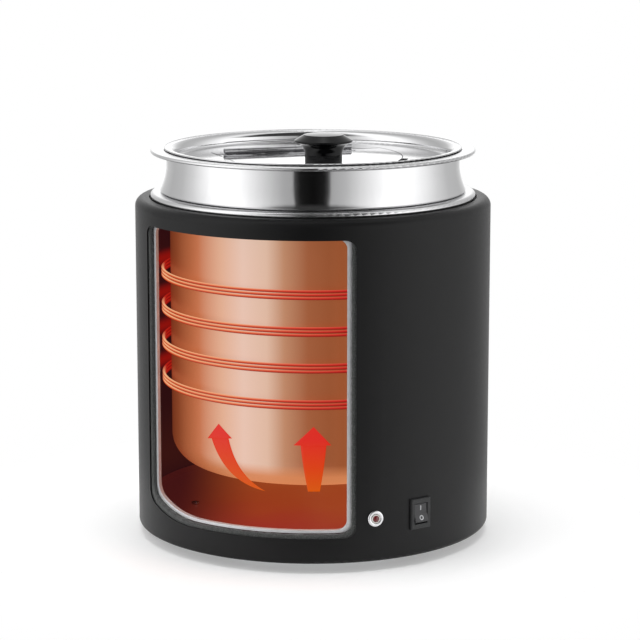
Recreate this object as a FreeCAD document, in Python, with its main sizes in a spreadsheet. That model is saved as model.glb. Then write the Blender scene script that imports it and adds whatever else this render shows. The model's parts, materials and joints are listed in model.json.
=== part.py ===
import FreeCAD, Part
import math
import os
import Sketcher
from FreeCAD import Placement, Rotation, Vector

# Electric soup kettle with a display window in its casing, in millimetres.
# Origin: on the kettle's axis at the table.  +Z is up, the controls and the window face -Y.
# Angles round the axis are measured from the front, positive towards +X.

document = FreeCAD.newDocument("SoupKettle")
UP = Vector(0, 0, 1)

DIMENSIONS = [
    ("casing_radius", 170.0, "outer radius of the casing"),
    ("casing_wall", 1.2, "sheet thickness of the casing"),
    ("casing_low", 9.0, "underside of the casing"),
    ("casing_high", 326.0, "top of the casing's shoulder"),
    ("casing_lip", 148.0, "inner radius of the lip under the casing"),
    ("casing_foot_round", 3.0, "radius of the casing's lower edge"),
    ("shoulder_round", 8.0, "radius of the casing's upper edge"),
    ("seat_radius", 156.6, "radius of the recess for the pan's rim"),
    ("seat_drop", 2.5, "depth of that recess"),
    ("seat_inner", 141.0, "inner radius of the recess"),
    ("window_angle", -26.0, "direction the window faces, degrees"),
    ("window_left", -108.0, "left edge of the window across its own face"),
    ("window_right", 107.8, "right edge of the window"),
    ("window_low", 32.5, "bottom edge of the window"),
    ("window_high", 308.0, "top edge of the window"),
    ("window_corner", 9.0, "corner radius of the window"),
    ("sweep_width", 61.0, "width of the long lower left corner"),
    ("sweep_height", 24.0, "height of that corner"),
    ("sweep_round", 15.0, "tight radius in that corner"),
    ("felt_inset", 5.2, "felt showing at each side of the window"),
    ("felt_rise", 4.2, "felt showing under the window"),
    ("trim_width", 4.2, "width of the silver edging"),
    ("trim_rise", 3.0, "height of the silver edging at the bottom"),
    ("felt_inner", 162.8, "inner radius of the felt"),
    ("felt_outer", 168.2, "outer radius of the felt"),
    ("sleeve_inner", 161.4, "inner radius of the inner sleeve"),
    ("sleeve_outer", 162.4, "outer radius of the inner sleeve"),
    ("trim_inner", 160.2, "inner radius of the edging"),
    ("trim_outer", 164.2, "outer radius of the edging"),
    ("plate_wall", 1.2, "thickness of the base plate"),
    ("reflector_height", 28.0, "underside of the heat reflector"),
    ("reflector_wall", 0.8, "thickness of the heat reflector"),
    ("reflector_radius", 159.6, "radius of the heat reflector"),
    ("foot_radius", 14.0, "upper radius of a rubber foot"),
    ("foot_tip", 12.0, "lower radius of a rubber foot"),
    ("foot_ring", 128.0, "distance of the feet from the axis"),
    ("foot_angle", 37.0, "angle of the front feet from the front, degrees"),
    ("pan_radius", 137.0, "outer radius of the water pan"),
    ("pan_wall", 0.8, "sheet thickness of the water pan"),
    ("pan_low", 69.0, "underside of the water pan"),
    ("pan_round", 28.0, "radius of the pan's lower corner"),
    ("pan_rim_high", 331.2, "top of the pan's rim"),
    ("pan_rim_round", 3.5, "radius of the rolled rim"),
    ("pan_rim_radius", 151.8, "radius of the rolled rim's centre line"),
    ("pan_neck_round", 4.0, "bend where the pan's wall turns into its rim"),
    ("heater_ring", 144.5, "radius of the heater wires' rings"),
    ("heater_wire", 1.3, "radius of a sheathed heater wire"),
    ("heater_gap", 3.2, "spacing of the wires in a band"),
    ("heater_first", 152.5, "height of the lowest band"),
    ("heater_pitch", 34.0, "spacing of the bands"),
    ("heater_opening", 5.0, "half of the gap at the back of a band, degrees"),
    ("pin_radius", 1.7, "radius of a heater's terminal pin"),
    ("pot_radius", 126.0, "outer radius of the soup pot"),
    ("pot_wall", 0.8, "sheet thickness of the soup pot"),
    ("pot_low", 112.0, "underside of the soup pot"),
    ("pot_round", 14.0, "radius of the pot's lower corner"),
    ("pot_step", 331.5, "underside of the step that rests on the pan's rim"),
    ("neck_low_radius", 146.0, "radius at the foot of the pot's neck"),
    ("neck_high_radius", 140.4, "radius at the top of the pot's neck"),
    ("neck_waist", 354.0, "height where the neck becomes upright"),
    ("rim_high", 371.7, "top of the pot's rim"),
    ("rim_radius", 155.0, "outer radius of the pot's rim"),
    ("rim_round", 1.75, "radius of the rolled edge"),
    ("lid_turn", 19.4, "angle the lid is turned on the pot, degrees"),
    ("lid_radius", 142.0, "outer radius of the lid's rim"),
    ("lid_wall", 0.8, "sheet thickness of the lid"),
    ("lid_rest", 372.0, "underside of the lid's rim"),
    ("lid_inner", 134.6, "inner radius of the lid's rim"),
    ("dish_radius", 128.5, "radius of the lid's flat floor"),
    ("dish_height", 362.0, "upper face of the lid's floor"),
    ("flap_wall", 0.7, "thickness of the flap"),
    ("flap_left", -79.0, "left edge of the flap in the lid's frame"),
    ("flap_round", 124.0, "radius of the flap's round edge"),
    ("flap_centre_x", -32.6, "centre of that round edge"),
    ("flap_centre_y", 23.8, "centre of that round edge"),
    ("flap_gap", 1.2, "gap between flap and lid"),
    ("ledge_outer", 4.0, "ledge width under the lid"),
    ("ledge_inner", 4.5, "ledge width under the flap"),
    ("ledge_wall", 0.9, "thickness of the ledge"),
    ("ladle_reach", 7.0, "width of the ladle slot beyond the flap"),
    ("ladle_start", -27.5, "upper end of the ladle slot, degrees"),
    ("ladle_sweep", 24.5, "length of the ladle slot, degrees"),
    ("slit_length", 17.0, "length of the relief slit past the hinge"),
    ("hinge_y", 53.0, "hinge line in the lid's frame"),
    ("hinge_left", -72.3, "left end of the hinge"),
    ("knuckle_length", 14.5, "length of a hinge knuckle"),
    ("knuckle_radius", 2.85, "outer radius of a knuckle"),
    ("hinge_pin_radius", 1.4, "radius of the hinge pin"),
    ("hinge_bore", 1.45, "radius of the knuckles' bore"),
    ("leaf_wall", 0.5, "thickness of a hinge leaf"),
    ("leaf_width", 13.0, "width of a hinge leaf"),
    ("rivet_radius", 1.6, "radius of a hinge rivet's head"),
    ("knob_x", -3.3, "knob position in the lid's frame"),
    ("knob_y", -39.3, "knob position in the lid's frame"),
    ("knob_base", 17.6, "radius of the knob's stem"),
    ("knob_wide", 27.5, "largest radius of the knob"),
    ("knob_top", 18.3, "radius of the knob's top face"),
    ("knob_height", 27.5, "height of the knob"),
    ("switch_angle", 35.3, "position of the switch, degrees"),
    ("switch_height", 49.3, "height of the switch"),
    ("bezel_width", 22.0, "width of the switch bezel"),
    ("bezel_height", 29.0, "height of the switch bezel"),
    ("bezel_proud", 2.6, "how far the bezel stands out"),
    ("switch_depth", 24.0, "depth of the switch behind the casing"),
    ("rocker_width", 14.3, "width of the rocker"),
    ("rocker_reach", 9.5, "radius of the rocker's ends"),
    ("rocker_tilt", 10.0, "tilt of the rocker at either end, degrees"),
    ("rocker_pivot", 168.2, "distance of the rocker's pivot from the axis"),
    ("lamp_angle", 19.5, "position of the lamp, degrees"),
    ("lamp_height", 50.0, "height of the lamp"),
    ("lamp_radius", 7.6, "outer radius of the lamp's bezel"),
    ("gland_height", 45.0, "height of the cable gland at the back"),
    ("gland_bore", 4.0, "radius of the gland's bore"),
    ("gland_thread", 8.0, "radius of the gland's thread"),
    ("screw_radius", 2.0, "radius of a casing screw"),
    ("sensor_radius", 9.0, "radius of a thermostat's cup"),
]


# ---------------------------------------------------------------- the sheet of driving sizes

class Size:
    """A length that knows both its value and the sheet formula that it comes from."""

    def __init__(self, value, formula):
        self.value = value
        self.formula = formula

    def __add__(self, other):
        other = as_size(other)
        return Size(self.value + other.value, "(%s + %s)" % (self.formula, other.formula))

    def __sub__(self, other):
        other = as_size(other)
        return Size(self.value - other.value, "(%s - %s)" % (self.formula, other.formula))

    def __mul__(self, other):
        other = as_size(other)
        return Size(self.value * other.value, "(%s * %s)" % (self.formula, other.formula))

    def __truediv__(self, other):
        other = as_size(other)
        return Size(self.value / other.value, "(%s / %s)" % (self.formula, other.formula))

    def __neg__(self):
        return Size(-self.value, "(0 - %s)" % self.formula)

    def root(self):
        return Size(math.sqrt(self.value), "sqrt(%s)" % self.formula)


def as_size(number):
    """Wraps a plain number, and leaves a Size alone."""
    if isinstance(number, Size):
        return number
    return Size(float(number), "%r" % float(number))


class Sizes:
    """The sheet, with every driving dimension as an attribute."""

    def __init__(self, rows):
        self.sheet = document.addObject("Spreadsheet::Sheet", "Sizes")
        for row, (name, value, meaning) in enumerate(rows, start=1):
            self.sheet.set("A%d" % row, meaning)
            self.sheet.set("B%d" % row, "%g" % value)
            self.sheet.setAlias("B%d" % row, name)
            setattr(self, name, Size(value, "Sizes.%s" % name))
        document.recompute()


size = Sizes(DIMENSIONS)
ZERO = as_size(0)
nodes = {}


def bind(thing, path, amount):
    """Ties a property to its sheet formula."""
    thing.setExpression(path, as_size(amount).formula)


def keep(thing, name):
    """Marks an object as a finished sub-part and gives it its name."""
    thing.Label = name
    nodes[name] = thing
    return thing


# ---------------------------------------------------------------- sketches, bodies and primitives

def to(x, y):
    """A straight edge that ends at x, y."""
    return (as_size(x), as_size(y), None, None)


def bend(x, y, radius, side):
    """A round edge that ends at x, y; its centre lies to the left or right of the way there."""
    return (as_size(x), as_size(y), as_size(radius), side)


def arc_edge(start, end, radius, side):
    """The circle arc between two points, and which of its ends is the start."""
    chord = end - start
    half = chord.Length / 2
    reach = math.sqrt(max(radius * radius - half * half, 0))
    across = Vector(-chord.y, chord.x, 0).normalize()
    if side == "right":
        across = -across
    centre = start + chord / 2 + across * reach
    circle = Part.Circle(centre, UP, radius)
    first = math.atan2(start.y - centre.y, start.x - centre.x)
    last = math.atan2(end.y - centre.y, end.x - centre.x)
    if side == "left":
        return Part.ArcOfCircle(circle, first, last), 1, 2
    return Part.ArcOfCircle(circle, last, first), 2, 1


def hold(rules, geometry, point, axis, amount):
    """Adds the rule that fixes one coordinate of a point, with its formula if it has one."""
    if amount.value == 0:
        line = -2 if axis == "DistanceX" else -1
        rules.append((Sketcher.Constraint("PointOnObject", geometry, point, line), None))
    else:
        rule = Sketcher.Constraint(axis, -1, 1, geometry, point, amount.value)
        rules.append((rule, amount.formula))


def outline(sketch, steps):
    """Draws a closed outline whose corners and radii all come from the sheet."""
    corners = [Vector(step[0].value, step[1].value, 0) for step in steps]
    count = len(steps)
    rules = []
    ends = []
    for index in range(count):
        start = corners[index - 1]
        radius = steps[index][2]
        if radius is None:
            sketch.addGeometry(Part.LineSegment(start, corners[index]), False)
            ends.append((1, 2))
        else:
            edge, first, last = arc_edge(start, corners[index], radius.value, steps[index][3])
            sketch.addGeometry(edge, False)
            ends.append((first, last))
            chord = corners[index] - start
            if chord.Length < 2 * radius.value - 1e-6:
                rules.append((Sketcher.Constraint("Radius", index, radius.value), radius.formula))
            elif abs(chord.x) < 1e-6:
                hold(rules, index, 3, "DistanceX", steps[index][0])
            else:
                hold(rules, index, 3, "DistanceY", steps[index][1])
    for index in range(count):
        following = (index + 1) % count
        join = Sketcher.Constraint("Coincident", index, ends[index][1], following, ends[following][0])
        rules.append((join, None))
        hold(rules, index, ends[index][1], "DistanceX", steps[index][0])
        hold(rules, index, ends[index][1], "DistanceY", steps[index][1])
    sketch.addConstraint([rule for rule, formula in rules])
    for position, (rule, formula) in enumerate(rules):
        if formula is not None:
            sketch.setExpression("Constraints[%d]" % position, formula)


def dome(radius, low, high):
    """A round edge that rises from a radius to the axis, with its centre on the axis."""
    radius, rise = as_size(radius), as_size(high) - as_size(low)
    return bend(0, high, (radius * radius + rise * rise) / (rise * 2), "left")


def new_sketch(body, role, name):
    """An empty sketch on one of the body's own origin planes."""
    sketch = body.newObject("Sketcher::SketchObject", name)
    planes = [item for item in body.Origin.OriginFeatures if item.Role == role]
    sketch.AttachmentSupport = [(planes[0], "")]
    sketch.MapMode = "FlatFace"
    return sketch


def turned(name, steps):
    """A body turned about its Z axis from a half section of radius and height."""
    body = document.addObject("PartDesign::Body", name)
    sketch = new_sketch(body, "XZ_Plane", name + "_section")
    outline(sketch, steps)
    turn = body.newObject("PartDesign::Revolution", name + "_turn")
    turn.Profile = sketch
    turn.ReferenceAxis = (sketch, ["V_Axis"])
    turn.Angle = 360
    sketch.Visibility = False
    return body


def ring(name, inner, outer, low, high):
    """A plain ring or tube of square section."""
    return turned(name, [to(inner, low), to(outer, low), to(outer, high), to(inner, high)])


def raised(name, role, steps, height, midplane=False):
    """A body padded from an outline on one of its origin planes."""
    body = document.addObject("PartDesign::Body", name)
    sketch = new_sketch(body, role, name + "_outline")
    outline(sketch, steps)
    pad = body.newObject("PartDesign::Pad", name + "_pad")
    pad.Profile = sketch
    pad.Length = as_size(height).value
    bind(pad, "Length", height)
    pad.Midplane = midplane
    sketch.Visibility = False
    return body


def cylinder(name, radius, height, place):
    """A round bar, placed with its own frame."""
    bar = document.addObject("Part::Cylinder", name)
    bar.Radius = as_size(radius).value
    bar.Height = as_size(height).value
    bind(bar, "Radius", radius)
    bind(bar, "Height", height)
    bar.Placement = place
    return bar


def box(name, width, depth, height, corner):
    """A block whose low corner is given."""
    block = document.addObject("Part::Box", name)
    for path, amount in (("Length", width), ("Width", depth), ("Height", height)):
        setattr(block, path, as_size(amount).value)
        bind(block, path, amount)
    for path, amount in zip("xyz", corner):
        bind(block, "Placement.Base." + path, amount)
    return block


def placed_box(name, width, depth, height, place):
    """A block whose low corner is the origin of its own frame."""
    block = document.addObject("Part::Box", name)
    for path, amount in (("Length", width), ("Width", depth), ("Height", height)):
        setattr(block, path, as_size(amount).value)
        bind(block, path, amount)
    block.Placement = place
    return block


def moved(x, y, z):
    """A shift without a turn."""
    return Placement(Vector(x, y, z), Rotation())


def fuse(name, parts):
    """One solid from several."""
    whole = document.addObject("Part::MultiFuse", name)
    whole.Shapes = parts
    return whole


def cut(name, base, tools):
    """Takes the tools away from the base."""
    result = document.addObject("Part::Cut", name)
    result.Base = base
    result.Tool = tools[0] if len(tools) == 1 else fuse(name + "_tools", tools)
    return result


def common(name, first, second):
    """What two solids share."""
    result = document.addObject("Part::Common", name)
    result.Base = first
    result.Tool = second
    return result


def shaped(name, shape, place=Placement()):
    """A sub-part whose shape is worked out here from the sheet's sizes."""
    thing = document.addObject("Part::Feature", name)
    thing.Shape = shape
    thing.Placement = place
    return thing


def swing(angle):
    """A turn about the kettle's axis from the front."""
    return Placement(Vector(), Rotation(UP, angle))


def outward(angle, radius, height):
    """A frame on the casing whose Z axis points straight out."""
    place = swing(angle)
    spot = place.multVec(Vector(0, -radius, height))
    away = place.multVec(Vector(0, -1, 0))
    return Placement(spot, Rotation(UP, away))


def spots(radius, angles, height):
    """Points round the axis at given angles from the front."""
    return [swing(angle).multVec(Vector(0, -radius, height)) for angle in angles]


# ---------------------------------------------------------------- sizes worked out from the sheet

casing_inner = size.casing_radius - size.casing_wall
plate_low = size.casing_low + size.casing_wall
plate_high = plate_low + size.plate_wall
seat_high = size.casing_high - size.seat_drop
rim_centre = size.pan_rim_high - size.pan_rim_round
bead_low = rim_centre - size.pan_rim_round
hinge_height = size.dish_height + size.knuckle_radius
flap_low = size.dish_height - size.flap_wall
dish_low = size.dish_height - size.lid_wall
heater_heights = [size.heater_first + size.heater_pitch * step for step in range(4)]
FOOT_ANGLES = [-size.foot_angle.value, size.foot_angle.value,
               180 - size.foot_angle.value, 180 + size.foot_angle.value]
FOOT_NAMES = ["foot_front_left", "foot_front_right", "foot_rear_right", "foot_rear_left"]
SCREW_COUNT = 8
SCREW_ANGLES = [22.5 + 360.0 / SCREW_COUNT * step for step in range(SCREW_COUNT)]
SCREW_RING = 158.0
POST_ANGLES = [-75.0, 75.0, 165.0, -165.0]
POST_RING = 118.0
SUPPORT_ANGLES = [40.0, 85.0, 130.0, 160.0, -140.0, -160.0]
SENSOR_PLACES = {"thermostat": Vector(-28, 62, 0), "thermal_cutout": Vector(28, 62, 0)}
REAR = 180.0
LAMP_ROOM = 11.0
GLAND_ROOM = 14.0
SWITCH_ROOM_WIDE = 26.0
SWITCH_ROOM_TALL = 32.0
KNUCKLES = 9
CYLINDER_FOOT_EDGE = 3
FLANGE_EDGES = (1, 3, 5, 7, 9, 10)
BLOCK_FRONT = 103.0
TERMINAL_PITCH = 11.0
WIRES = (-1, 0, 1)


# ---------------------------------------------------------------- casing and its layers

def window_outline(side, low_rise, high_rise, name):
    """A solid that fills the window, drawn in by side and low_rise, and drawn up by high_rise."""
    left = size.window_left + side
    right = size.window_right - side
    low = size.window_low + low_rise
    high = size.window_high + high_rise
    corner = size.window_corner
    wide, tall, tight = size.sweep_width, size.sweep_height, size.sweep_round
    slack = ((wide * wide + tall * tall) / 2 - wide * tight) / (tall - tight)
    share = slack / (slack - tight)
    meet_x = left + wide + (tight - wide) * share
    meet_y = low + slack + (tall - slack) * share
    steps = [
        to(left, low + tall),
        bend(meet_x, meet_y, tight, "left"),
        bend(left + wide, low, slack, "left"),
        to(right - corner, low),
        bend(right, low + corner, corner, "left"),
        to(right, high - corner),
        bend(right - corner, high, corner, "left"),
        to(left + corner, high),
        bend(left, high - corner, corner, "left"),
    ]
    body = raised(name, "XZ_Plane", steps, size.casing_radius + 20)
    body.Placement = swing(size.window_angle.value)
    return body


def control_holes(name, lamp, gland, wide, tall):
    """The holes for lamp, gland and switch that go through one layer of the casing."""
    start, depth = 150, 30
    lamp_hole = cylinder(name + "_lamp", lamp, depth,
                         outward(size.lamp_angle.value, start, size.lamp_height.value))
    gland_hole = cylinder(name + "_gland", gland, depth,
                          outward(REAR, start, size.gland_height.value))
    corner = moved(-wide / 2, -start - depth, size.switch_height.value - tall / 2)
    switch_hole = placed_box(name + "_switch", wide, depth, tall,
                             swing(size.switch_angle.value).multiply(corner))
    return [lamp_hole, gland_hole, switch_hole]


def make_casing():
    outer, inner = size.casing_radius, casing_inner
    low, high, wall = size.casing_low, size.casing_high, size.casing_wall
    foot, shoulder = size.casing_foot_round, size.shoulder_round
    shell = turned("casing_shell", [
        to(size.casing_lip, low),
        to(outer - foot, low),
        bend(outer, low + foot, foot, "left"),
        to(outer, high - shoulder),
        bend(outer - shoulder, high, shoulder, "left"),
        to(size.seat_radius, high),
        to(size.seat_radius, seat_high),
        to(size.seat_inner, seat_high),
        to(size.seat_inner, seat_high - wall),
        to(size.seat_radius + wall, seat_high - wall),
        to(size.seat_radius + wall, high - wall),
        to(outer - shoulder, high - wall),
        bend(inner, high - shoulder, shoulder - wall, "right"),
        to(inner, low + foot),
        bend(outer - foot, low + wall, foot - wall, "right"),
        to(size.casing_lip, low + wall),
    ])
    holes = control_holes("casing_hole", 5.2, size.gland_thread + 0.2, 19.0, 25.6)
    window = window_outline(ZERO, ZERO, ZERO, "casing_window")
    for number, spot in enumerate(spots(SCREW_RING, SCREW_ANGLES, 5)):
        holes.append(cylinder("lip_hole_%d" % number, size.screw_radius + 0.2, 8, moved(*spot)))
    keep(cut("outer_casing", shell, holes + [window]), "outer_casing")


def make_felt():
    layer = ring("felt_layer", size.felt_inner, size.felt_outer, plate_high + 0.2,
                 size.casing_high - size.shoulder_round - 2)
    window = window_outline(size.felt_inset, size.felt_rise, as_size(4), "felt_window")
    holes = control_holes("felt_hole", LAMP_ROOM, GLAND_ROOM, SWITCH_ROOM_WIDE, SWITCH_ROOM_TALL)
    keep(cut("insulation_felt", layer, holes + [window]), "insulation_felt")


def make_sleeve():
    side = size.felt_inset + size.trim_width / 2
    rise = size.felt_rise + size.trim_rise / 2
    layer = ring("sleeve_layer", size.sleeve_inner, size.sleeve_outer, plate_high,
                 size.casing_high - size.casing_wall - 0.3)
    window = window_outline(side, rise, as_size(2.5), "sleeve_window")
    holes = control_holes("sleeve_hole", LAMP_ROOM, GLAND_ROOM, SWITCH_ROOM_WIDE, SWITCH_ROOM_TALL)
    sleeve = keep(cut("inner_sleeve", layer, holes + [window]), "inner_sleeve")

    edging = ring("edging_layer", size.trim_inner, size.trim_outer, plate_high, size.casing_high - 6)
    outside = window_outline(size.felt_inset + 0.2, size.felt_rise + 0.2, as_size(3.8), "trim_window")
    inside = window_outline(size.felt_inset + size.trim_width, size.felt_rise + size.trim_rise,
                            as_size(0.8), "trim_opening")
    band = common("trim_band", edging, outside)
    frame = cut("trim_frame", band, [inside])
    keep(cut("window_trim", frame, [sleeve]), "window_trim")


def make_base():
    """The base plate, with vent slots and the holes for its screws."""
    body = document.addObject("PartDesign::Body", "base_plate")
    sketch = new_sketch(body, "XZ_Plane", "base_section")
    edge = casing_inner - 2.5
    outline(sketch, [to(0, plate_low), to(edge, plate_low), to(edge, plate_high), to(0, plate_high)])
    turn = body.newObject("PartDesign::Revolution", "base_turn")
    turn.Profile = sketch
    turn.ReferenceAxis = (sketch, ["V_Axis"])
    turn.Angle = 360
    document.recompute()
    whole = turn.Shape.Volume

    slot = new_sketch(body, "XY_Plane", "vent_outline")
    inner, outer, half = as_size(52), as_size(96), as_size(3)
    outline(slot, [bend(inner, -half, half, "left"), to(outer, -half),
                   bend(outer, half, half, "left"), to(inner, half)])
    vent = body.newObject("PartDesign::Pocket", "vent")
    vent.Profile = slot
    vent.Length = plate_high.value + 5
    vent.Reversed = True
    document.recompute()
    if vent.Shape.Volume >= whole:
        raise RuntimeError("the vent slot cut nothing")
    vents = body.newObject("PartDesign::PolarPattern", "vents")
    vents.Originals = [vent]
    vents.Axis = (slot, ["N_Axis"])
    vents.Angle = 360
    vents.Occurrences = 16
    body.Tip = vents

    holes = []
    places = spots(size.foot_ring.value, FOOT_ANGLES, 5) + spots(SCREW_RING, SCREW_ANGLES, 5)
    for number, spot in enumerate(places):
        holes.append(cylinder("plate_hole_%d" % number, size.screw_radius + 0.05, 12, moved(*spot)))
    keep(cut("bottom_plate", body, holes), "base_plate")


def screw(name, spot, shank, length, head, head_height, up=True):
    """A pan head screw with a cross recess; its head's seat is at the spot."""
    facing = Rotation() if up else Rotation(Vector(1, 0, 0), 180)
    place = Placement(spot, facing)
    under = place.multiply(moved(0, 0, -head_height))
    stem = cylinder(name + "_stem", shank, length, place)
    cap = cylinder(name + "_cap", head, head_height, under)
    round_cap = document.addObject("Part::Fillet", name + "_head")
    round_cap.Base = cap
    round_cap.Edges = [(CYLINDER_FOOT_EDGE, head_height * 0.45, head_height * 0.45)]
    slot_long, slot_wide, slot_deep = head * 1.1, head * 0.22, head_height * 0.5
    bars = []
    for turn in (0, 90):
        facing = under.multiply(Placement(Vector(), Rotation(UP, turn)))
        corner = moved(-slot_long / 2, -slot_wide / 2, -0.01)
        bars.append(placed_box(name + "_slot_%d" % turn, slot_long, slot_wide, slot_deep,
                               facing.multiply(corner)))
    return cut(name, fuse(name + "_blank", [stem, round_cap]), bars)


def group(name, parts):
    """Identical loose pieces that share one node."""
    together = document.addObject("Part::Compound", name)
    together.Links = parts
    return keep(together, name)


def make_feet():
    """Four rubber feet, their screws, and the screws that hold the base plate."""
    foot_screws = []
    pocket, bore, seat = 4.6, 2.3, 6
    for name, spot in zip(FOOT_NAMES, spots(size.foot_ring.value, FOOT_ANGLES, 0)):
        foot = turned(name, [
            to(pocket, 0),
            to(size.foot_tip - 1, 0),
            bend(size.foot_tip, 1, 1, "left"),
            to(size.foot_radius, plate_low),
            to(bore, plate_low),
            to(bore, seat),
            to(pocket, seat),
        ])
        foot.Placement = moved(*spot)
        keep(foot, name)
        foot_screws.append(screw("screw_" + name, spot + Vector(0, 0, seat), size.screw_radius, 8, 4.2, 2.6))
    group("foot_screws", foot_screws)
    casing_screws = []
    for number, spot in enumerate(spots(SCREW_RING, SCREW_ANGLES, size.casing_low.value)):
        casing_screws.append(screw("base_screw_%d" % number, spot, size.screw_radius, 6, 3.8, 2.2))
    group("base_screws", casing_screws)


def make_reflector():
    """The heat reflector over the wiring, and the posts that carry it."""
    low, wall, edge = size.reflector_height, size.reflector_wall, size.reflector_radius
    corner = as_size(3)
    rim = low + corner * 2
    dish = turned("reflector_dish", [
        to(0, low),
        to(edge - corner, low),
        bend(edge, low + corner, corner, "left"),
        to(edge, rim),
        to(edge - wall, rim),
        to(edge - wall, low + corner),
        bend(edge - corner, low + wall, corner - wall, "right"),
        to(0, low + wall),
    ])
    below = low.value - 8
    holes = []
    for number, spot in enumerate(spots(POST_RING, POST_ANGLES, below)):
        holes.append(cylinder("reflector_hole_%d" % number, size.screw_radius + 0.2, 20, moved(*spot)))
    holes.append(cylinder("reflector_wire_hole", 9, 20, moved(0, 138, below)))
    keep(cut("reflector", dish, holes), "heat_reflector")

    posts, screws = [], []
    for number, spot in enumerate(spots(POST_RING, POST_ANGLES, plate_high.value)):
        outer = cylinder("post_%d_outer" % number, 4.5, low - plate_high, moved(*spot))
        bore = cylinder("post_%d_bore" % number, size.screw_radius, 40, moved(*spot))
        posts.append(cut("post_%d" % number, outer, [bore]))
        top = Vector(spot.x, spot.y, (low + wall).value)
        screws.append(screw("post_screw_%d" % number, top, size.screw_radius, 8, 3.8, 2.2, up=False))
    group("reflector_posts", posts)
    group("reflector_screws", screws)


# ---------------------------------------------------------------- water pan and heaters

def make_pan():
    outer, wall = size.pan_radius, size.pan_wall
    low, big = size.pan_low, size.pan_round
    high, bead, rim = size.pan_rim_high, size.pan_rim_round, size.pan_rim_radius
    neck = size.pan_neck_round
    keep(turned("pan", [
        to(0, low),
        to(outer - big, low),
        bend(outer, low + big, big, "left"),
        to(outer, high - wall - neck),
        bend(outer + neck, high - wall, neck, "right"),
        to(rim, high - wall),
        bend(rim + bead - wall, rim_centre, bead - wall, "right"),
        bend(rim, rim_centre - bead + wall, bead - wall, "right"),
        bend(rim - bead + wall, rim_centre, bead - wall, "right"),
        to(rim - bead, rim_centre),
        bend(rim, bead_low, bead, "left"),
        bend(rim + bead, rim_centre, bead, "left"),
        bend(rim, high, bead, "left"),
        to(outer + neck, high),
        bend(outer - wall, high - wall - neck, neck + wall, "left"),
        to(outer - wall, low + big),
        bend(outer - big, low + wall, big - wall, "right"),
        to(0, low + wall),
    ]), "water_pan")
    keep(ring("gasket", size.seat_inner + 5.5, size.seat_radius - 0.3, seat_high, bead_low),
         "rim_gasket")


def heater_point(angle, height):
    """A point on the heaters' ring at an angle from the back gap's middle."""
    around = math.radians(90 + angle)
    reach = size.heater_ring.value
    return Vector(reach * math.cos(around), reach * math.sin(around), height)


def heater_band(height):
    """One heater: a single wire that runs round the pan three times, with two terminal pins."""
    wire, gap, ends = size.heater_wire.value, size.heater_gap.value, size.heater_opening.value
    reach = size.heater_ring.value
    pin_long, pin_root = 11, 1.5
    pieces = []
    for level in WIRES:
        turn = Part.makeTorus(reach, wire, Vector(0, 0, height + level * gap), UP, 0, 360, 360 - 2 * ends)
        turn.rotate(Vector(0, 0, 0), UP, 90 + ends)
        pieces.append(turn)
    for side, lower in ((1, -1), (-1, 0)):
        angle = side * ends
        start = heater_point(angle, height + lower * gap)
        middle = heater_point(angle, height + (lower + 0.5) * gap)
        radial = Vector(start.x, start.y, 0).normalize()
        tangent = UP.cross(radial)
        circle = Part.Wire(Part.makeCircle(wire, start, tangent))
        pieces.append(Part.Face(circle).revolve(middle, radial, -180 * side))
    for side, level in ((-1, -1), (1, 1)):
        spot = heater_point(side * ends, height + level * gap)
        radial = Vector(spot.x, spot.y, 0).normalize()
        pieces.append(Part.makeCylinder(size.pin_radius.value, pin_long, spot - radial * pin_root, radial))
    return pieces[0].fuse(pieces[1:]).removeSplitter()


def make_heaters():
    for number, height in enumerate(heater_heights, start=1):
        keep(shaped("heater_%d" % number, heater_band(height.value)), "heater_band_%d" % number)

    spare = 10
    low = size.heater_first.value - spare
    tall = heater_heights[-1].value + spare - low
    back = size.pan_radius.value + 0.2
    wide, deep = 8, 11
    combs = []
    grooves = []
    for height in heater_heights:
        for level in WIRES:
            grooves.append(Part.makeTorus(size.heater_ring.value, size.heater_wire.value + 0.1,
                                          Vector(0, 0, height.value + level * size.heater_gap.value)))
    for angle in SUPPORT_ANGLES:
        comb = Part.makeBox(wide, deep, tall, Vector(-wide / 2, -back - deep, low))
        comb = comb.cut(Part.makeCylinder(back, tall + 2, Vector(0, 0, low - 1)))
        comb.rotate(Vector(0, 0, 0), UP, angle)
        combs.append(comb.cut(Part.makeCompound(grooves)))
    keep(shaped("supports", Part.makeCompound(combs)), "heater_supports")

    bar_wide, bar_thick = 9, 2
    for name, side, level in (("live_bus_bar", -1, -1), ("neutral_bus_bar", 1, 1)):
        corner = Vector(size.heater_ring.value + 5, -bar_wide / 2, low)
        bar = Part.makeBox(bar_thick, bar_wide, tall, corner)
        bar.rotate(Vector(0, 0, 0), UP, 90 + side * size.heater_opening.value)
        for height in heater_heights:
            spot = heater_point(side * size.heater_opening.value,
                                height.value + level * size.heater_gap.value)
            radial = Vector(spot.x, spot.y, 0).normalize()
            bar = bar.cut(Part.makeCylinder(size.pin_radius.value + 0.02, 12, spot, radial))
        keep(shaped(name + "_shape", bar), name)


def hexagon_bar(name, across_corners, height, place):
    """A plain hexagonal bar."""
    bar = document.addObject("Part::Prism", name)
    bar.Polygon = 6
    bar.Circumradius = across_corners / 2
    bar.Height = height
    bar.Placement = place
    return bar


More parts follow.
